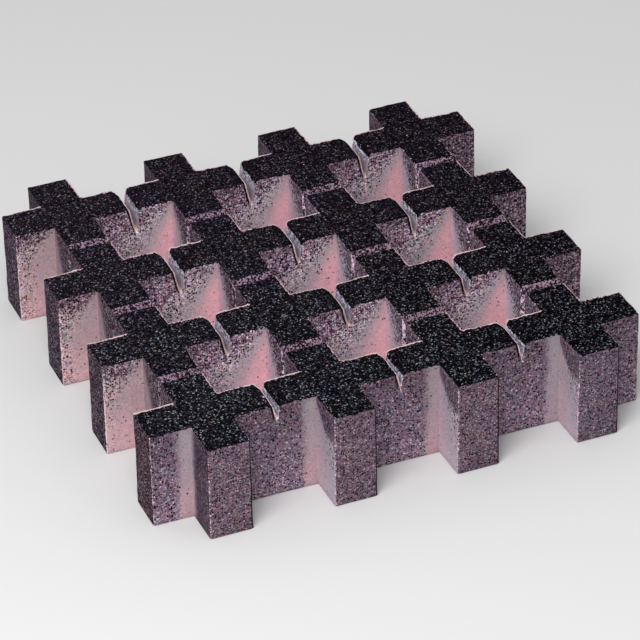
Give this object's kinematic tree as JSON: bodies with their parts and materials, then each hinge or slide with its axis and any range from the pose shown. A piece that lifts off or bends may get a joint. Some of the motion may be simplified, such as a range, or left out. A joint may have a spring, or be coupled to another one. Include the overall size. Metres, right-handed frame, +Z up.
{
  "type": "grass paver",
  "caption": "Cast concrete grass paver: joined crosses around open square cells for soil and grass, grooved across each joint between the crosses.",
  "frame": {"origin": "middle of the underside, on the ground that the slab lies on", "axes": "+Z up out of the walking surface; +X along the rows whose joints have the deep grooves, +Y along the columns whose joints have the shallow grooves"},
  "size_m": [0.6, 0.6, 0.12],
  "materials": {
    "concrete": "rough dry-cast concrete, dark top with pale grains, mauve-grey pitted walls, pink in the deep corners"
  },
  "bodies": {
    "root": {"grass_paver": "concrete"}
  },
  "joints": []
}
